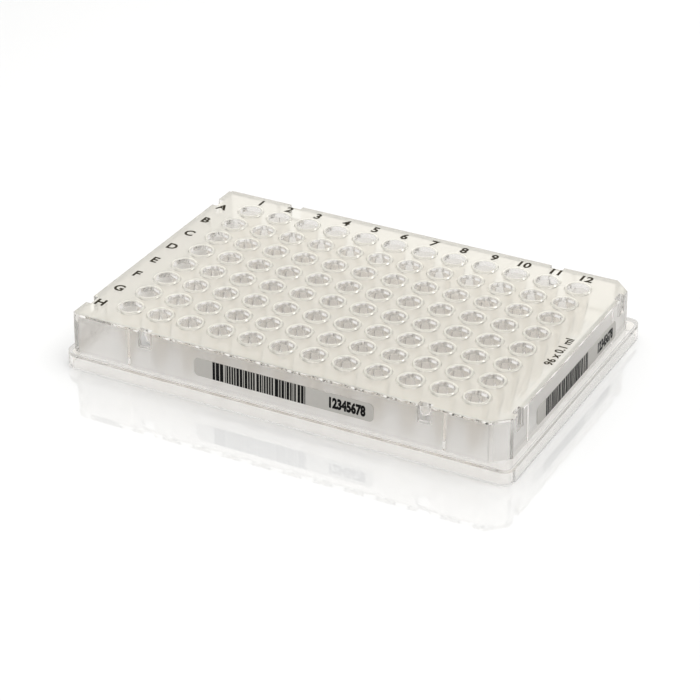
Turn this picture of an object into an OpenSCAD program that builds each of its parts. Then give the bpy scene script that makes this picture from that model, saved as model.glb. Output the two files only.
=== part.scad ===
// Well plate: 96 conical wells moulded into the deck of a full-skirted plate.
// Origin: centre of the footprint, on the plane the plate stands on. +X runs along the
// numbered columns, +Y towards lettered row A, +Z up out of the wells.

/* [Well lattice] */
// Number of wells along X
well_cols = 12; // [4:1:16]
// Number of wells along Y
well_rows = 8; // [4:1:12]
// Centre distance of neighbouring wells, both ways
well_pitch = 9; // [8:0.1:12]
// From the centre of the first or last column to the footprint's end
end_margin = 14.38; // [12:0.01:20]
// From the centre of the first or last row to the footprint's side
side_margin = 11.24; // [10.5:0.01:18]

/* [Well] */
// Bore of the straight mouth
mouth_d = 5.85; // [4.5:0.05:6.2]
// Length of the straight mouth, from the rim's top face down
mouth_l = 3; // [2:0.1:5]
// Width of the raised rim round the mouth, at its top face
rim_w = 0.52; // [0.4:0.01:0.7]
// Height of the rim above the deck
rim_h = 0.4; // [0.2:0.05:1.5]
// How much further out the rim stands at its foot
rim_flare = 0.28; // [0:0.01:0.4]
// Edge break on the rim's inner top edge
rim_break = 0.15; // [0.05:0.01:0.2]
// Inside radius of the round well bottom
tip_r = 1.2; // [0.8:0.05:1.6]
// Wall of the cone and the well bottom
cone_wall = 0.35; // [0.3:0.05:0.5]
// Clear height under the well bottoms
tip_gap = 0.8; // [0.3:0.1:3]

/* [Deck and walls] */
// Height of the deck's top face above the base
deck_h = 15.6; // [13:0.1:24]
// Thickness of the deck
deck_t = 1.2; // [0.8:0.05:1.8]
// Width of the foot ledge beyond the end walls, at deck level
end_ledge = 2.4; // [1.6:0.05:3.5]
// Width of the foot ledge beyond the side walls, at deck level
side_ledge = 1.85; // [1.2:0.05:2.5]
// Thickness of the walls
wall_t = 1.4; // [1:0.05:1.8]
// How much further out each wall stands at its foot than at the deck
wall_lean = 0.25; // [0.05:0.01:0.5]
// Radius of the two square-looking corners on the first column's side
wall_corner_r = 0.9; // [0.6:0.05:2]
// Cut on the two corners on the last column's side
corner_cut = 4.5; // [3:0.1:5.5]

/* [Foot flange] */
// Height of the flange
flange_h = 4.4; // [3.5:0.1:7]
// Thickness of the ledge on top of the flange
ledge_t = 1.4; // [0.7:0.05:1.8]
// Thickness of the skirt that hangs from the ledge
skirt_t = 1.2; // [0.8:0.05:1.6]
// Radius of the footprint's corners
foot_corner_r = 3.18; // [2.5:0.01:5]
// How far the skirt leans in from the base to the ledge
skirt_lean = 0.2; // [0.05:0.01:0.4]

/* [Windows in the walls] */
// Width of each open-topped window along its wall
window_w = 3.6; // [3:0.1:5]
// How much deeper than the wall's thickness the windows notch the deck's edge
window_notch = 0.1; // [0.05:0.05:0.5]
// Height of the windows, from the deck's top face down
window_h = 4.9; // [3:0.1:7]
// From the deck's end to the middle of the windows in the side walls
side_window_in = 21.7; // [16:0.1:28]
// From the deck's side to the middle of the windows in the end walls
end_window_in = 8.4; // [7.4:0.1:11]

/* [Ribs inside the walls] */
// Thickness of each upright rib
rib_t = 0.8; // [0.6:0.05:1.4]
// How far a rib stands off the wall's inside face
rib_d = 0.5; // [0.4:0.05:1.6]

/* [Labels] */
// Length of a label
label_l = 51; // [30:0.5:60]
// Height of a label
label_w = 5.1; // [3:0.1:5.6]
// Radius of a label's corners
label_r = 1.3; // [0.5:0.1:1.4]
// Thickness of a label
label_t = 0.15; // [0.08:0.01:0.3]
// Middle of the front label along X
front_label_x = 0.6; // [-10:0.1:10]
// Middle of the front label below the deck's top face
front_label_down = 5.95; // [4:0.05:7]
// Middle of the side label along Y
side_label_y = 3; // [-3:0.1:3]
// Middle of the side label below the deck's top face
side_label_down = 7.1; // [4:0.05:7.5]

/* [Hidden] */
$fn = 96;
// Overshoot of a cutting shape past the face it cuts
cut = 1;
// Overlap of pieces of one moulding, so that they fuse
bite = 0.3;

foot_l = (well_cols - 1) * well_pitch + 2 * end_margin;
foot_w = (well_rows - 1) * well_pitch + 2 * side_margin;
deck_l = foot_l - 2 * end_ledge;
deck_w = foot_w - 2 * side_ledge;
rim_top = deck_h + rim_h;
// Lean of the outside wall faces from upright
lean_a = atan(wall_lean / (deck_h - flange_h));
// Wells: the cone meets the straight mouth at cone_top and the round bottom on a tangent
mouth_r = mouth_d / 2;
cone_top = rim_top - mouth_l;
tip_z = tip_gap + cone_wall + tip_r;
cone_reach = norm([mouth_r, cone_top - tip_z]);
cone_a = acos(tip_r / cone_reach) - atan2(cone_top - tip_z, mouth_r);
collar_r = mouth_r + rim_w;
// Ribs stand between the outermost well and the next one in
rib_x = (well_cols / 2 - 1) * well_pitch;
rib_y = (well_rows / 2 - 1) * well_pitch;
window_d = wall_t + window_notch;
clear_color = [0.91, 0.895, 0.86];
label_color = [0.72, 0.71, 0.69];

// How much further out the walls stand at height z than at the deck
function wall_out(z) = wall_lean * (deck_h - z) / (deck_h - flange_h);

// Centres of all the wells
function well_places() = [
    for (c = [0 : well_cols - 1], r = [0 : well_rows - 1])
        [(c - (well_cols - 1) / 2) * well_pitch, ((well_rows - 1) / 2 - r) * well_pitch, 0]
];

// The cone's outline, in [radius, height], grown outwards by t, from its top down to the axis
function cone_outline(t) = [
    [mouth_r + t / cos(cone_a), cone_top],
    [(tip_r + t) * cos(cone_a), tip_z - (tip_r + t) * sin(cone_a)],
    [0, tip_z - (tip_r + t) * sin(cone_a)],
];

// A bar, l long at its foot and w wide, whose two ends lean in by lean at height h
module leaning_bar(l, w, h, lean) {
    rotate([90, 0, 0])
        linear_extrude(w, center = true)
            polygon([[-l / 2, 0], [l / 2, 0], [l / 2 - lean, h], [-l / 2 + lean, h]]);
}

// A block, l by w at its foot, whose sides lean in by lean at height h, with square corners
module square_block(l, w, h, lean) {
    intersection() {
        leaning_bar(l, w + cut, h, lean);
        rotate(90)
            leaning_bar(w, l + cut, h, lean);
    }
}

// The same block with corners of radius r at its foot
module round_block(l, w, h, lean, r) {
    leaning_bar(l, w - 2 * r, h, lean);
    rotate(90)
        leaning_bar(w, l - 2 * r, h, lean);
    for (sx = [-1, 1], sy = [-1, 1])
        translate([sx * (l / 2 - r), sy * (w / 2 - r), 0])
            cylinder(h = h, r1 = r, r2 = r - lean);
}

// The space inside the walls' outside faces moved in by t, from height z0 to height z1
module wall_block(t, z0, z1, r = 0) {
    l = deck_l + 2 * (wall_out(z0) - t);
    w = deck_w + 2 * (wall_out(z0) - t);
    lean = wall_out(z0) - wall_out(z1);
    difference() {
        translate([0, 0, z0])
            if (r > 0)
                round_block(l, w, z1 - z0, lean, r);
            else
                square_block(l, w, z1 - z0, lean);
        for (sy = [-1, 1])
            translate([deck_l / 2 - corner_cut / 2, sy * (deck_w / 2 - corner_cut / 2), deck_h])
                rotate([0, -lean_a, sy * 45])
                    translate([-t, -deck_w / 4, -2 * deck_h])
                        cube([deck_w / 2, deck_w / 2, 3 * deck_h]);
    }
}

// Deck, walls and foot flange, open below
module shell() {
    ledge_z = flange_h - ledge_t;
    difference() {
        union() {
            round_block(foot_l, foot_w, flange_h, skirt_lean, foot_corner_r);
            wall_block(0, flange_h - bite, deck_h, wall_corner_r);
        }
        translate([0, 0, -cut])
            linear_extrude(ledge_z + cut)
                rounded_rect(foot_l - 2 * skirt_t, foot_w - 2 * skirt_t, foot_corner_r - skirt_t);
        wall_block(wall_t, ledge_z - bite, deck_h - deck_t);
    }
}

// A rectangle, l by w, whose corners have the radius r
module rounded_rect(l, w, r) {
    square([l - 2 * r, w], center = true);
    square([l, w - 2 * r], center = true);
    for (sx = [-1, 1], sy = [-1, 1])
        translate([sx * (l / 2 - r), sy * (w / 2 - r)])
            circle(r);
}

// Two windows for each wall, through the wall and notching the deck's edge
module windows() {
    for (sx = [-1, 1], sy = [-1, 1]) {
        translate([sx * (deck_l / 2 - side_window_in), sy * deck_w / 2, deck_h - window_h])
            window(window_w, 2 * window_d);
        translate([sx * deck_l / 2, sy * (deck_w / 2 - end_window_in), deck_h - window_h])
            window(2 * window_d, window_w);
    }
}

// One window's cutting block, l by w, from the window's sill up past the deck
module window(l, w) {
    translate([-l / 2, -w / 2, 0])
        cube([l, w, window_h + cut]);
}

// Upright ribs on the walls' inside faces, from the ledge up to the deck
module ribs() {
    rib_z = flange_h - bite;
    rib_h = deck_h - deck_t + bite - rib_z;
    for (s = [-1, 1]) {
        for (x = [-rib_x, rib_x])
            translate([x - rib_t / 2, s * (deck_w / 2 - wall_t + bite) - (s > 0 ? rib_d + bite : 0), rib_z])
                cube([rib_t, rib_d + bite, rib_h]);
        for (y = [-rib_y, rib_y])
            translate([s * (deck_l / 2 - wall_t + bite) - (s > 0 ? rib_d + bite : 0), y - rib_t / 2, rib_z])
                cube([rib_d + bite, rib_t, rib_h]);
    }
}

// One well as a solid: rim, collar, cone and round bottom
module well_outside() {
    rotate_extrude() {
        polygon(concat([
            [0, rim_top], [collar_r, rim_top], [collar_r + rim_flare, deck_h],
            [collar_r, deck_h - deck_t],
        ], cone_outline(cone_wall)));
        tip_circle(tip_r + cone_wall);
    }
}

// The room inside one well: edge break, straight mouth, cone and round bottom
module well_inside() {
    rotate_extrude() {
        polygon(concat([
            [0, rim_top + cut], [mouth_r + rim_break + cut, rim_top + cut],
            [mouth_r, rim_top - rim_break],
        ], cone_outline(0)));
        tip_circle(tip_r);
    }
}

// The right half of the round well bottom
module tip_circle(r) {
    intersection() {
        translate([0, tip_z])
            circle(r);
        translate([0, tip_z - r])
            square([r, 2 * r]);
    }
}

module plate() {
    color(clear_color)
        difference() {
            union() {
                shell();
                ribs();
                for (p = well_places())
                    translate(p)
                        well_outside();
            }
            for (p = well_places())
                translate(p)
                    well_inside();
            windows();
        }
}

// A label lying flat, its back on z = 0
module label() {
    color(label_color)
        linear_extrude(label_t)
            rounded_rect(label_l, label_w, label_r);
}

// Face to face with the leaning front wall
module front_label() {
    z = deck_h - front_label_down;
    translate([front_label_x, -deck_w / 2 - wall_out(z), z])
        rotate([90 - lean_a, 0, 0])
            label();
}

// Face to face with the leaning end wall beside the last column
module side_label() {
    z = deck_h - side_label_down;
    translate([deck_l / 2 + wall_out(z), side_label_y, z])
        rotate([90 - lean_a, 0, 90])
            label();
}

plate();
front_label();
side_label();
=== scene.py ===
"""Looks of a clear 96-well reaction plate with two bar-code labels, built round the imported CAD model.

The moulding and the labels' films are CAD nodes and get their finish here. The printed marks on the
deck and on the labels are new pieces, each a thin solid layer of ink lying on the face it was printed on.
"""

import logging
import math
import random
from collections.abc import Iterable, Sequence
from dataclasses import dataclass, field
from enum import Enum

import bmesh
import bpy
from mathutils import Matrix, Vector


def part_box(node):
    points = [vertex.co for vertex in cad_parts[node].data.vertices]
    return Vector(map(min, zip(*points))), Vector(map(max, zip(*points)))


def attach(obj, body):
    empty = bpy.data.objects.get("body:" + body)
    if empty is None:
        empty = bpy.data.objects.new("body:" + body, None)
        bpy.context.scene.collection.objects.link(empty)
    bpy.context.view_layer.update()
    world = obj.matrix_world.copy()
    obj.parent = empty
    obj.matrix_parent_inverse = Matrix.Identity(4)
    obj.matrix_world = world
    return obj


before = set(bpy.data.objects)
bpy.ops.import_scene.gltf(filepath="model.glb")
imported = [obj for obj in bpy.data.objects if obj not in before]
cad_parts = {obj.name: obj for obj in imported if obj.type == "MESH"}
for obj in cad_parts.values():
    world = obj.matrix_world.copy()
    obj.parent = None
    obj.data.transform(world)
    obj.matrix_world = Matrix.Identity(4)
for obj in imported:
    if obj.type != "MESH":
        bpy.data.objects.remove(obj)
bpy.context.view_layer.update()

LOG = logging.getLogger("well_plate")
MM = 0.001
BODY = "root"
# How thick a layer of printed ink is drawn
INK_MM = 0.02
WHITE = (1.0, 1.0, 1.0, 1.0)
# Finer layers in each noise texture
NOISE_DETAIL = 2.0


# ---------------------------------------------------------------- nodes and colours


def linear(code: str) -> tuple[float, float, float, float]:
    """Turns an sRGB hex colour into the linear colour a shader takes.

    Args:
        code: Six hex digits, with or without a leading hash.

    Returns:
        Linear red, green, blue and an alpha of 1.
    """
    digits = code.lstrip("#")
    parts = [int(digits[i : i + 2], 16) / 255 for i in (0, 2, 4)]
    red, green, blue = [p / 12.92 if p <= 0.04045 else ((p + 0.055) / 1.055) ** 2.4 for p in parts]
    return red, green, blue, 1.0


def add_node(
    tree: bpy.types.NodeTree,
    kind: str,
    values: dict[str, object] | None = None,
    links: dict[str, bpy.types.NodeSocket] | None = None,
    **settings: object,
) -> bpy.types.Node:
    """Adds one shader node with its settings, socket values and incoming links.

    Args:
        tree: The node tree it goes into.
        kind: Blender's name for the node type.
        values: Input socket name or number to the plain value it holds.
        links: Input socket name or number to the output socket that drives it.
        settings: Properties of the node itself.

    Returns:
        The new node.
    """
    node = tree.nodes.new(kind)
    for name, value in settings.items():
        setattr(node, name, value)
    for name, value in (values or {}).items():
        node.inputs[name].default_value = value
    for name, socket in (links or {}).items():
        tree.links.new(socket, node.inputs[name])
    return node


def new_material(name: str) -> tuple[bpy.types.Material, bpy.types.NodeTree]:
    """Makes a material with an empty node tree.

    Args:
        name: The material's name.

    Returns:
        The material and its node tree.
    """
    material = bpy.data.materials.new(name)
    material.use_nodes = True
    material.node_tree.nodes.clear()
    return material, material.node_tree


def per_metre(size_mm: float) -> float:
    """Gives a texture's scale for a pattern whose features are size_mm across."""
    return 1 / (size_mm * MM)


def maths(
    tree: bpy.types.NodeTree, operation: str, *terms: float | bpy.types.NodeSocket
) -> bpy.types.NodeSocket:
    """Adds one maths node.

    Args:
        tree: The node tree it goes into.
        operation: Blender's name for what it works out.
        terms: Its inputs in order, each a plain value or the socket that drives it.

    Returns:
        Its output.
    """
    values = {place: term for place, term in enumerate(terms) if isinstance(term, (int, float))}
    links = {place: term for place, term in enumerate(terms) if place not in values}
    return add_node(tree, "ShaderNodeMath", operation=operation, values=values, links=links).outputs[0]


def seen_ray(tree: bpy.types.NodeTree) -> bpy.types.NodeSocket:
    """Tells rays that show a background, to the eye, in a mirror or through glass, from rays that light.

    Args:
        tree: The node tree it goes into.

    Returns:
        A socket that is 1 for camera, glossy and transmission rays.
    """
    rays = add_node(tree, "ShaderNodeLightPath").outputs
    through = maths(tree, "MAXIMUM", rays["Is Glossy Ray"], rays["Is Transmission Ray"])
    return maths(tree, "MAXIMUM", rays["Is Camera Ray"], through)


# ---------------------------------------------------------------- finishes


@dataclass(frozen=True)
class Zone:
    """How one zone of the moulding's surface came out of the mould."""

    clear: float
    roughness: float


@dataclass(frozen=True)
class ClearPolypropylene:
    """Clear polypropylene, injection moulded: glassy walls round a hazy white deck.

    Its crystals scatter a part of the light. Where light falls in from above, on the deck and the rims,
    that shows as a warm white haze, with a trace of it in the bores. The walls' inside faces come off
    matt steel and blur what lies behind them. What looks down under the deck is polished.
    """

    deck_z: float
    inner_x: float
    inner_y: float
    name: str = "clear_polypropylene_moulded"
    clear_hex: str = "#fdfbf8"
    haze_hex: str = "#efece1"
    ior: float = 1.49
    body: Zone = Zone(clear=1.0, roughness=0.02)
    deck: Zone = Zone(clear=0.68, roughness=0.05)
    rims: Zone = Zone(clear=0.42, roughness=0.15)
    bores: Zone = Zone(clear=0.75, roughness=0.02)
    inside: Zone = Zone(clear=1.0, roughness=0.5)
    wells: Zone = Zone(clear=1.0, roughness=0.03)
    # How much a metre of it takes from red, green and blue light
    takes: tuple[float, float, float] = (3.4, 3.7, 4.8)
    # How near the deck's height a face lies that is the deck's
    face_slack_mm: float = 0.06
    # How far up a face looks at least that counts as one on top, and as one in a bore
    top_lift: float = 0.3
    bore_lift: float = -0.01
    # How far up a face looks at most that counts as a wall's inside face, and as one under the deck
    inside_lift: float = -0.01
    well_lift: float = -0.05

    def lift(self, tree: bpy.types.NodeTree) -> bpy.types.NodeSocket:
        """Adds the nodes that tell how far up the surface looks.

        Args:
            tree: The node tree they go into.

        Returns:
            A socket that runs from 1 for straight up to -1 for straight down.
        """
        surface = add_node(tree, "ShaderNodeNewGeometry").outputs
        facing = add_node(tree, "ShaderNodeSeparateXYZ", links={"Vector": surface["True Normal"]})
        # The normal is turned over where a ray comes from inside the plastic
        turn = maths(tree, "MULTIPLY_ADD", surface["Backfacing"], -2.0, 1.0)
        return maths(tree, "MULTIPLY", facing.outputs["Z"], turn)

    def material(self) -> bpy.types.Material:
        """Builds the material.

        Returns:
            A Principled material with absorption, its clarity and roughness set by zone.
        """
        material, tree = new_material(self.name)
        place = add_node(tree, "ShaderNodeTexCoord").outputs["Object"]
        spot = add_node(tree, "ShaderNodeSeparateXYZ", links={"Vector": place}).outputs
        outside = maths(
            tree, "SUBTRACT", 1.0, add_node(tree, "ShaderNodeNewGeometry").outputs["Backfacing"]
        )
        slack = self.face_slack_mm * MM
        lift = self.lift(tree)
        within = maths(
            tree,
            "MULTIPLY",
            maths(tree, "COMPARE", spot["X"], 0.0, self.inner_x),
            maths(tree, "COMPARE", spot["Y"], 0.0, self.inner_y),
        )
        bore = maths(
            tree,
            "MULTIPLY",
            maths(tree, "MULTIPLY", within, outside),
            maths(tree, "GREATER_THAN", lift, self.bore_lift),
        )
        up = maths(tree, "MULTIPLY", maths(tree, "GREATER_THAN", lift, self.top_lift), outside)
        rims = maths(tree, "MULTIPLY", up, maths(tree, "GREATER_THAN", spot["Z"], self.deck_z - slack))
        deck = maths(tree, "MULTIPLY", up, maths(tree, "COMPARE", spot["Z"], self.deck_z, slack))
        zones = [(bore, self.bores), (rims, self.rims), (deck, self.deck)]
        for bound, zone in ((self.inside_lift, self.inside), (self.well_lift, self.wells)):
            down = maths(tree, "LESS_THAN", lift, bound)
            zones.append((maths(tree, "MULTIPLY", within, down), zone))
        clear = self.blend(tree, "clear", zones)
        rough = self.blend(tree, "roughness", zones)
        colour = add_node(
            tree,
            "ShaderNodeMix",
            data_type="RGBA",
            values={6: linear(self.clear_hex), 7: linear(self.haze_hex)},
            links={0: rims},
        )
        shader = add_node(
            tree,
            "ShaderNodeBsdfPrincipled",
            values={"IOR": self.ior},
            links={"Base Color": colour.outputs[2], "Roughness": rough, "Transmission Weight": clear},
        )
        most = max(self.takes)
        body = add_node(
            tree,
            "ShaderNodeVolumeAbsorption",
            values={"Color": (*[1 - share / most for share in self.takes], 1.0), "Density": most},
        )
        add_node(
            tree,
            "ShaderNodeOutputMaterial",
            links={"Surface": shader.outputs[0], "Volume": body.outputs[0]},
        )
        return material

    def blend(
        self, tree: bpy.types.NodeTree, trait: str, zones: Sequence[tuple[bpy.types.NodeSocket, Zone]]
    ) -> bpy.types.NodeSocket:
        """Picks one trait by the masks.

        Args:
            tree: The node tree it goes into.
            trait: Name of the Zone field to pick.
            zones: Masks with their zones. A later one wins over an earlier one.

        Returns:
            A socket with the trait of the last zone whose mask is 1, or else the body's.
        """
        value = None
        for mask, zone in zones:
            mix = add_node(
                tree,
                "ShaderNodeMix",
                data_type="FLOAT",
                values={2: getattr(self.body, trait), 3: getattr(zone, trait)},
                links={0: mask},
            )
            if value is not None:
                tree.links.new(value, mix.inputs[2])
            value = mix.outputs[0]
        return value


@dataclass(frozen=True)
class LabelFilm:
    """Polyester label film with a matt grey coat: even, slightly mottled, and without a shine."""

    name: str = "polyester_label_film"
    film_hex: str = "#c5c2bc"
    mottle_hex: str = "#bebbb5"
    mottle_mm: float = 0.9
    roughness: float = 0.45

    def material(self) -> bpy.types.Material:
        """Builds the material.

        Returns:
            A Principled material with a fine mottle.
        """
        material, tree = new_material(self.name)
        place = add_node(tree, "ShaderNodeTexCoord").outputs["Object"]
        mottle = add_node(
            tree,
            "ShaderNodeTexNoise",
            values={"Scale": per_metre(self.mottle_mm), "Detail": NOISE_DETAIL},
            links={"Vector": place},
        )
        colour = add_node(
            tree,
            "ShaderNodeMix",
            data_type="RGBA",
            values={6: linear(self.film_hex), 7: linear(self.mottle_hex)},
            links={0: mottle.outputs["Fac"]},
        )
        shader = add_node(
            tree,
            "ShaderNodeBsdfPrincipled",
            values={"Roughness": self.roughness},
            links={"Base Color": colour.outputs[2]},
        )
        add_node(tree, "ShaderNodeOutputMaterial", links={"Surface": shader.outputs[0]})
        return material


@dataclass(frozen=True)
class PrintingInk:
    """Printing ink: dark, dull, and a little thin where the print took badly."""

    name: str
    ink_hex: str
    thin_hex: str
    grain_mm: float = 0.25
    # Values of the grain's noise where the ink begins to thin and where it is thinnest
    thins_from: float = 0.5
    thinnest_at: float = 0.8
    roughness: float = 0.5
    shine: float = 0.1

    def material(self) -> bpy.types.Material:
        """Builds the material.

        Returns:
            A Principled material whose colour lifts in small thin spots.
        """
        material, tree = new_material(self.name)
        place = add_node(tree, "ShaderNodeTexCoord").outputs["Object"]
        grain = add_node(
            tree,
            "ShaderNodeTexNoise",
            values={"Scale": per_metre(self.grain_mm), "Detail": NOISE_DETAIL},
            links={"Vector": place},
        )
        spots = add_node(
            tree,
            "ShaderNodeMapRange",
            values={"From Min": self.thins_from, "From Max": self.thinnest_at},
            links={"Value": grain.outputs["Fac"]},
        )
        colour = add_node(
            tree,
            "ShaderNodeMix",
            data_type="RGBA",
            values={6: linear(self.ink_hex), 7: linear(self.thin_hex)},
            links={0: spots.outputs[0]},
        )
        shader = add_node(
            tree,
            "ShaderNodeBsdfPrincipled",
            values={"Roughness": self.roughness, "Specular IOR Level": self.shine},
            links={"Base Color": colour.outputs[2]},
        )
        add_node(tree, "ShaderNodeOutputMaterial", links={"Surface": shader.outputs[0]})
        return material


@dataclass(frozen=True)
class GlossWhiteFloor:
    """White acrylic sheet, polished: pale, with a soft mirror image in it.

    A share of plain white is added to what it shows, so that it goes over into the backdrop.
    Seen through clear plastic the share is larger: painted light that lifts the shade on the floor under
    the plate.
    """

    name: str = "white_acrylic_sheet"
    white_hex: str = "#f6f6f5"
    ior: float = 3.0
    roughness: float = 0.01
    # Share of plain white, to the eye and in mirrors, and as seen through clear plastic, where it is
    # painted light that lifts the shade under the plate
    glow_share: float = 0.1
    painted_light_share_through: float = 0.55

    def material(self) -> bpy.types.Material:
        """Builds the material.

        Returns:
            A Principled material with that white mixed in, which lights nothing matt.
        """
        material, tree = new_material(self.name)
        sheet = add_node(
            tree,
            "ShaderNodeBsdfPrincipled",
            values={"Base Color": linear(self.white_hex), "Roughness": self.roughness, "IOR": self.ior},
        )
        glow = add_node(tree, "ShaderNodeEmission", values={"Color": WHITE, "Strength": 1.0})
        through = add_node(tree, "ShaderNodeLightPath").outputs["Is Transmission Ray"]
        # Through clear plastic the floor shows more white: painted light in the plate's shade
        share = maths(
            tree,
            "MAXIMUM",
            maths(tree, "MULTIPLY", seen_ray(tree), self.glow_share),
            maths(tree, "MULTIPLY", through, self.painted_light_share_through),
        )
        both = add_node(
            tree,
            "ShaderNodeMixShader",
            links={0: share, 1: sheet.outputs[0], 2: glow.outputs[0]},
        )
        add_node(tree, "ShaderNodeOutputMaterial", links={"Surface": both.outputs[0]})
        return material


# ---------------------------------------------------------------- pieces


def new_mesh(name: str, work: bmesh.types.BMesh) -> bpy.types.Mesh:
    """Makes a mesh of a bmesh and frees the bmesh.

    Args:
        name: The mesh's name.
        work: What it is made of.

    Returns:
        The new mesh.
    """
    mesh = bpy.data.meshes.new(name)
    work.to_mesh(mesh)
    work.free()
    return mesh


def link_piece(name: str, mesh: bpy.types.Mesh, material: bpy.types.Material) -> None:
    """Makes a finished piece of a mesh that lies in its place already.

    Args:
        name: The piece's name.
        mesh: Its mesh, in metres, in the shared frame.
        material: What it is finished in.
    """
    mesh.materials.clear()
    mesh.materials.append(material)
    piece = bpy.data.objects.new(name, mesh)
    bpy.context.scene.collection.objects.link(piece)
    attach(piece, BODY)
    LOG.info("piece %s: %d faces", name, len(mesh.polygons))


def dress_node(name: str, material: bpy.types.Material) -> bpy.types.Object:
    """Gives a CAD node its finish.

    Args:
        name: The node's name.
        material: Its finish.

    Returns:
        The node.
    """
    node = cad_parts[name]
    node.data.materials.clear()
    node.data.materials.append(material)
    LOG.info("dressed %s: %d triangles", name, len(node.data.polygons))
    return node


@dataclass(frozen=True)
class TextStyle:
    """How a line of printed characters is set."""

    height_mm: float
    squeeze: float = 1.0
    weight_mm: float = 0.0
    # Height of a capital over the type size, for Blender's own font
    capital_share: float = 0.729
    # Steps in each curve of a character, and how near two corners are that are one
    steps: int = 3
    weld_mm: float = 0.0001


def text_mesh(words: str, style: TextStyle) -> bpy.types.Mesh:
    """Sets a line of characters as a thin solid centred on the origin, lying on z = 0.

    Args:
        words: The characters.
        style: Their size and proportions.

    Returns:
        A closed mesh in metres.
    """
    curve = bpy.data.curves.new("print", type="FONT")
    curve.body = words
    curve.size = style.height_mm * MM / style.capital_share
    curve.offset = style.weight_mm * MM
    curve.extrude = INK_MM * MM / 2
    curve.resolution_u = style.steps
    curve.fill_mode = "BOTH"
    setter = bpy.data.objects.new("print", curve)
    bpy.context.scene.collection.objects.link(setter)
    bpy.context.view_layer.update()
    graph = bpy.context.evaluated_depsgraph_get()
    mesh = bpy.data.meshes.new_from_object(setter.evaluated_get(graph))
    bpy.data.objects.remove(setter)
    bpy.data.curves.remove(curve)
    corners = [v.co for v in mesh.vertices]
    low = Vector(min(c[i] for c in corners) for i in range(3))
    high = Vector(max(c[i] for c in corners) for i in range(3))
    middle = (low + high) / 2
    mesh.transform(
        Matrix.Diagonal((style.squeeze, 1, 1, 1)) @ Matrix.Translation((-middle.x, -middle.y, -low.z))
    )
    work = bmesh.new()
    work.from_mesh(mesh)
    bmesh.ops.remove_doubles(work, verts=work.verts, dist=style.weld_mm * MM)
    bmesh.ops.recalc_face_normals(work, faces=work.faces)
    work.to_mesh(mesh)
    work.free()
    return mesh


def joined(name: str, parts: Iterable[tuple[bpy.types.Mesh, Matrix]]) -> bpy.types.Mesh:
    """Joins placed copies of meshes into one.

    Args:
        name: The new mesh's name.
        parts: Each mesh with where it goes.

    Returns:
        One mesh. The meshes it was made of are removed.
    """
    work = bmesh.new()
    used = []
    for mesh, place in parts:
        mesh.transform(place)
        work.from_mesh(mesh)
        used.append(mesh)
    whole = new_mesh(name, work)
    for mesh in used:
        bpy.data.meshes.remove(mesh)
    return whole


@dataclass(frozen=True)
class FaceFrame:
    """A flat outside face of a CAD node: its middle and the directions along, up and out of it."""

    middle: Vector
    along: Vector
    up: Vector
    out: Vector
    # Least cosine between a facet's normal and the way a face looks, for a facet that is the face's
    FACING = 0.99

    @classmethod
    def of_node(cls, node: bpy.types.Object, out: Vector) -> "FaceFrame":
        """Finds a node's flat face that looks most nearly along a direction.

        Args:
            node: The CAD node.
            out: Roughly the way the face looks.

        Returns:
            The face's frame. Its along is level, and its up climbs the face.
        """
        mesh = node.data
        facing = [p for p in mesh.polygons if p.normal.dot(out) > cls.FACING]
        normal = Vector((0, 0, 0))
        corners = []
        for polygon in facing:
            normal += polygon.normal * polygon.area
            corners += [mesh.vertices[i].co for i in polygon.vertices]
        normal.normalize()
        along = Vector((0, 0, 1)).cross(normal).normalized()
        up = normal.cross(along)
        spans = []
        for axis in (along, up, normal):
            reach = [c.dot(axis) for c in corners]
            spans.append(axis * (min(reach) + max(reach)) / 2)
        return cls(sum(spans, Vector((0, 0, 0))), along, up, normal)

    def matrix(self, right: float = 0.0) -> Matrix:
        """Places something drawn on z = 0 onto the face.

        Args:
            right: How far along the face from its middle, in metres.

        Returns:
            The placing matrix.
        """
        spot = self.middle + self.along * right
        turn = Matrix((self.along, self.up, self.out)).transposed().to_4x4()
        return Matrix.Translation(spot) @ turn


@dataclass
class PlateMoulding:
    """The moulded plate itself, a CAD node, and where its deck and wells lie."""

    pitch_mm: float = 9.0
    rim_height_mm: float = 0.4
    # From the footprint's edge to half way through the walls, along X and along Y
    core_inset_mm: tuple[float, float] = (3.1, 2.55)
    columns: int = 12
    rows: int = 8
    high: Vector = field(init=False)
    deck_z: float = field(init=False)

    def __post_init__(self) -> None:
        """Reads the plate's box from the frame."""
        _, self.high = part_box("plate")
        self.deck_z = self.high.z - self.rim_height_mm * MM

    def column_x(self, column: int) -> float:
        """Gives the X of a column of wells, counted from 0."""
        return (column - (self.columns - 1) / 2) * self.pitch_mm * MM

    def row_y(self, row: int) -> float:
        """Gives the Y of a row of wells, counted from 0 at the back."""
        return ((self.rows - 1) / 2 - row) * self.pitch_mm * MM

    def dress(self) -> None:
        """Gives the moulding its finish."""
        inset_x, inset_y = self.core_inset_mm
        finish = ClearPolypropylene(self.deck_z, self.high.x - inset_x * MM, self.high.y - inset_y * MM)
        dress_node("plate", finish.material())


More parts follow.
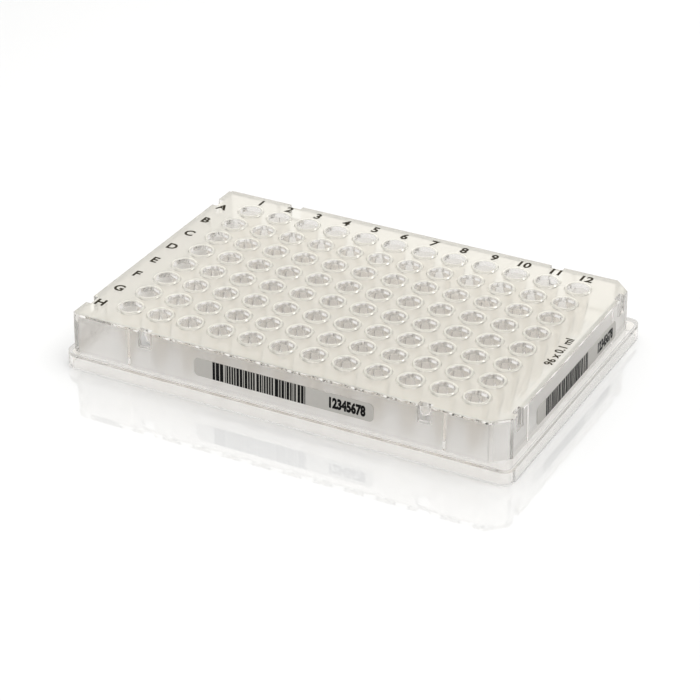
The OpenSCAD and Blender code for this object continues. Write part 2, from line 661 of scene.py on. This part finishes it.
@dataclass
class DeckMarks:
    """Row letters, column numbers and the capacity mark, printed on the deck."""

    plate: PlateMoulding
    ink: PrintingInk
    index_style: TextStyle = field(default_factory=lambda: TextStyle(height_mm=3.0, weight_mm=0.14))
    capacity_style: TextStyle = field(default_factory=lambda: TextStyle(height_mm=2.4, weight_mm=0.08))
    letters: str = "ABCDEFGH"
    letter_x_mm: float = -58.0
    letter_drop_mm: float = 1.1
    number_rise_mm: float = 6.2
    capacity: str = "96 x 0.1 ml"
    capacity_x_mm: float = 58.2
    capacity_y_mm: float = -1.5

    def mark(
        self, words: str, style: TextStyle, x: float, y: float, turn: float = 0.0
    ) -> tuple[bpy.types.Mesh, Matrix]:
        """Sets one mark, and gives it with the matrix that centres it on x, y, turned by radians."""
        place = Matrix.Translation((x, y, self.plate.deck_z))
        return text_mesh(words, style), place @ Matrix.Rotation(turn, 4, "Z")

    def build(self) -> None:
        """Prints all the marks."""
        plate = self.plate
        letter_x = self.letter_x_mm * MM
        letter_drop = self.letter_drop_mm * MM
        number_y = plate.row_y(0) + self.number_rise_mm * MM
        capacity_x, capacity_y = self.capacity_x_mm * MM, self.capacity_y_mm * MM
        marks = {
            "row_letters": [
                self.mark(letter, self.index_style, letter_x, plate.row_y(row) - letter_drop)
                for row, letter in enumerate(self.letters)
            ],
            "column_numbers": [
                self.mark(str(column + 1), self.index_style, plate.column_x(column), number_y)
                for column in range(plate.columns)
            ],
            "capacity_mark": [
                self.mark(self.capacity, self.capacity_style, capacity_x, capacity_y, math.pi / 2)
            ],
        }
        material = self.ink.material()
        for name, parts in marks.items():
            link_piece(name, joined(name, parts), material)


class Wall(Enum):
    """The walls that carry a label, each with its label's node and the way it looks."""

    FRONT = ("front_label", (0.0, -1.0, 0.0))
    END = ("side_label", (1.0, 0.0, 0.0))

    @property
    def node(self) -> str:
        """Names the label's CAD node."""
        return self.value[0]

    @property
    def out(self) -> Vector:
        """Gives the way the wall looks."""
        return Vector(self.value[1])


@dataclass
class BarLabel:
    """The print on one label: upright bars of four widths, and plain digits beside them."""

    wall: Wall
    seed: int
    digits: str = "12345678"
    digit_style: TextStyle = field(
        default_factory=lambda: TextStyle(height_mm=2.8, weight_mm=0.22, squeeze=0.68)
    )
    digits_right_mm: float = 18.3
    bars_left_mm: float = -20.1
    bars_right_mm: float = 6.75
    bar_height_mm: float = 5.06
    unit_mm: float = 0.24
    # Widths drawn from, in units, each as often as it stands here
    bar_units: tuple[int, ...] = (1, 2, 2, 3, 3, 4)
    gap_units: tuple[int, ...] = (1, 1, 1, 1, 2)

    def bars(self) -> bpy.types.Mesh:
        """Builds the bars of one label.

        Returns:
            A mesh of thin upright bars, centred on the label's middle, lying on z = 0.
        """
        draw = random.Random(self.seed)
        work = bmesh.new()
        left = self.bars_left_mm
        while True:
            width = draw.choice(self.bar_units) * self.unit_mm
            if left + width > self.bars_right_mm:
                break
            size = Matrix.Diagonal((width * MM, self.bar_height_mm * MM, INK_MM * MM, 1))
            spot = Matrix.Translation(((left + width / 2) * MM, 0, INK_MM * MM / 2))
            bmesh.ops.create_cube(work, size=1, matrix=spot @ size)
            left += width + draw.choice(self.gap_units) * self.unit_mm
        return new_mesh("bars", work)

    def build(self, film: bpy.types.Material, ink: bpy.types.Material) -> None:
        """Dresses the label's film and prints on it.

        Args:
            film: The film's material.
            ink: The ink's material.
        """
        face = FaceFrame.of_node(dress_node(self.wall.node, film), self.wall.out)
        bars = joined("bars", [(self.bars(), face.matrix())])
        link_piece(self.wall.node + "_bars", bars, ink)
        row = text_mesh(self.digits, self.digit_style)
        digits = joined("digits", [(row, face.matrix(right=self.digits_right_mm * MM))])
        link_piece(self.wall.node + "_digits", digits, ink)


def towards(azimuth: float, elevation: float) -> Vector:
    """Gives the direction to a bearing, anticlockwise from the front, and an elevation, in degrees."""
    turn, tilt = math.radians(azimuth), math.radians(elevation)
    return Vector((math.sin(turn) * math.cos(tilt), -math.cos(turn) * math.cos(tilt), math.sin(tilt)))


@dataclass(frozen=True)
class Card:
    """A dark card that stands upright and faces the plate, to draw grey edges in it.

    Its bearing is in degrees, as in towards, and its sizes are in metres. It shows through clear
    plastic and shades what is matt, but neither the camera nor a mirror sees it.
    """

    name: str
    bearing: float
    distance: float
    bottom: float
    height: float
    length: float
    grey: str

    def build(self) -> None:
        """Stands the card up."""
        work = bmesh.new()
        bmesh.ops.create_grid(work, x_segments=1, y_segments=1, size=0.5)
        upright = Matrix.Rotation(math.pi / 2, 4, "X")
        size = Matrix.Diagonal((self.length, 1, self.height, 1))
        place = Matrix.Translation((0, -self.distance, self.bottom + self.height / 2))
        turn = Matrix.Rotation(math.radians(self.bearing), 4, "Z")
        bmesh.ops.transform(work, matrix=turn @ place @ size @ upright, verts=work.verts)
        mesh = new_mesh(self.name, work)
        material, tree = new_material(self.name)
        paper = add_node(tree, "ShaderNodeBsdfDiffuse", values={"Color": linear(self.grey)})
        add_node(tree, "ShaderNodeOutputMaterial", links={"Surface": paper.outputs[0]})
        mesh.materials.append(material)
        card = bpy.data.objects.new(self.name, mesh)
        card.visible_camera = card.visible_glossy = False
        bpy.context.scene.collection.objects.link(card)


@dataclass(frozen=True)
class SoftLamp:
    """A square lamp that looks at the plate, with its angles in degrees and its sizes in metres."""

    name: str
    azimuth: float
    elevation: float
    distance: float
    size: float
    watts: float

    def build(self) -> None:
        """Hangs the lamp."""
        data = bpy.data.lights.new(self.name, "AREA")
        data.size = self.size
        data.energy = self.watts
        lamp = bpy.data.objects.new(self.name, data)
        back = towards(self.azimuth, self.elevation)
        lamp.location = back * self.distance
        lamp.rotation_euler = back.to_track_quat("Z", "Y").to_euler()
        bpy.context.scene.collection.objects.link(lamp)


@dataclass
class Studio:
    """Floor, light and camera."""

    azimuth: float = 27.53
    elevation: float = 29.58
    distance_mm: float = 609.5
    target_mm: tuple[float, float, float] = (11.65, -25.78, 16.1)
    lens_mm: float = 124.8
    sensor_mm: float = 36.0
    # Nearest and farthest that the camera sees, in metres
    sight: tuple[float, float] = (0.01, 50.0)
    floor_size: float = 6.0
    world_strength: float = 0.95
    bounces: int = 32
    key: SoftLamp = SoftLamp("key", azimuth=100, elevation=66, distance=0.7, size=0.5, watts=2.2)
    cards: tuple[Card, ...] = (
        Card("left_card", bearing=-90, distance=0.35, bottom=0.0, height=0.1, length=0.6, grey="#0a0a0a"),
        Card("right_card", bearing=90, distance=0.32, bottom=0.0, height=0.25, length=0.9, grey="#0a0a0a"),
        Card("room", bearing=27.5, distance=0.9, bottom=0.12, height=0.35, length=1.2, grey="#5a5a58"),
    )

    def camera(self) -> None:
        """Places the camera and makes it the scene's."""
        data = bpy.data.cameras.new("camera")
        data.lens = self.lens_mm
        data.sensor_width = self.sensor_mm
        data.clip_start, data.clip_end = self.sight
        back = towards(self.azimuth, self.elevation)
        camera = bpy.data.objects.new("camera", data)
        camera.location = Vector(self.target_mm) * MM + back * self.distance_mm * MM
        camera.rotation_euler = back.to_track_quat("Z", "Y").to_euler()
        bpy.context.scene.collection.objects.link(camera)
        bpy.context.scene.camera = camera

    def floor(self) -> None:
        """Lays the floor."""
        work = bmesh.new()
        bmesh.ops.create_grid(work, x_segments=1, y_segments=1, size=self.floor_size / 2)
        mesh = new_mesh("floor", work)
        mesh.materials.append(GlossWhiteFloor().material())
        floor = bpy.data.objects.new("floor", mesh)
        bpy.context.scene.collection.objects.link(floor)

    def world(self) -> None:
        """Makes the even white surroundings, full white to the eye and dimmer as a light."""
        world = bpy.data.worlds.new("studio")
        world.use_nodes = True
        tree = world.node_tree
        tree.nodes.clear()
        light = add_node(
            tree, "ShaderNodeBackground", values={"Color": WHITE, "Strength": self.world_strength}
        )
        backdrop = add_node(tree, "ShaderNodeBackground", values={"Color": WHITE, "Strength": 1.0})
        both = add_node(
            tree,
            "ShaderNodeMixShader",
            links={0: seen_ray(tree), 1: light.outputs[0], 2: backdrop.outputs[0]},
        )
        add_node(tree, "ShaderNodeOutputWorld", links={"Surface": both.outputs[0]})
        bpy.context.scene.world = world

    def light_paths(self) -> None:
        """Lets light through the wells' many walls, which would come out black with fewer bounces."""
        cycles = bpy.context.scene.cycles
        cycles.max_bounces = self.bounces
        cycles.transmission_bounces = self.bounces
        cycles.glossy_bounces = self.bounces
        cycles.diffuse_bounces = self.bounces

    def build(self) -> None:
        """Sets the whole studio up."""
        self.light_paths()
        self.camera()
        self.floor()
        for card in self.cards:
            card.build()
        self.key.build()
        self.world()
        bpy.context.scene.view_settings.view_transform = "Standard"


def main() -> None:
    """Builds and dresses everything in order."""
    logging.basicConfig(level=logging.INFO, format="%(name)s: %(message)s")
    Studio().build()
    plate = PlateMoulding()
    plate.dress()
    DeckMarks(plate, PrintingInk("pad_printed_deck_ink", "#1c1500", "#3f3620")).build()
    film = LabelFilm().material()
    ink = PrintingInk("thermal_transfer_ink", "#040404", "#1a1a19").material()
    for seed, wall in enumerate(Wall, start=5):
        BarLabel(wall, seed).build(film, ink)


if __name__ == "__main__":
    main()
